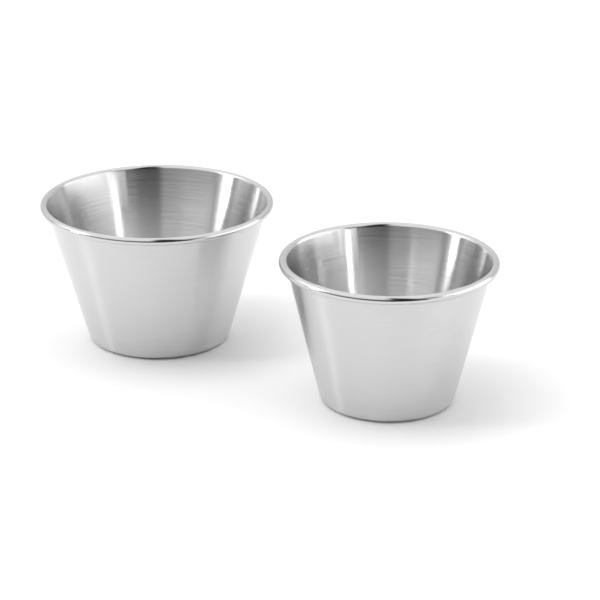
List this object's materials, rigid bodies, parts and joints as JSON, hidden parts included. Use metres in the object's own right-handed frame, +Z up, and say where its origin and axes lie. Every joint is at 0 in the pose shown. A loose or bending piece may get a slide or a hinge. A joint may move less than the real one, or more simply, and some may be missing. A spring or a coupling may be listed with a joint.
{
  "type": "flan mould set",
  "caption": "Set of stainless-steel flan moulds: plain tapered cups with flat bases and rims rolled outwards into a hollow bead, for baking and turning out single custards.",
  "frame": {"origin": "on the surface that the moulds stand on, midway between the outermost points of the two rims, on the line through both axes", "axes": "+X from the large mould's axis to the small mould's axis, +Z up along both axes"},
  "size_m": [0.171, 0.0804, 0.0494],
  "materials": {
    "satin_steel": "stainless steel with a satin finish brushed round the wall and a polished rim bead"
  },
  "bodies": {
    "large_mould": {"large_mould": "satin_steel"},
    "small_mould": {"small_mould": "satin_steel"}
  },
  "joints": [
    {"name": "small_mould_lift", "type": "slide", "parent": "large_mould", "child": "small_mould", "axis": [0, 0, 1], "range_m": [0, 0.06]}
  ]
}
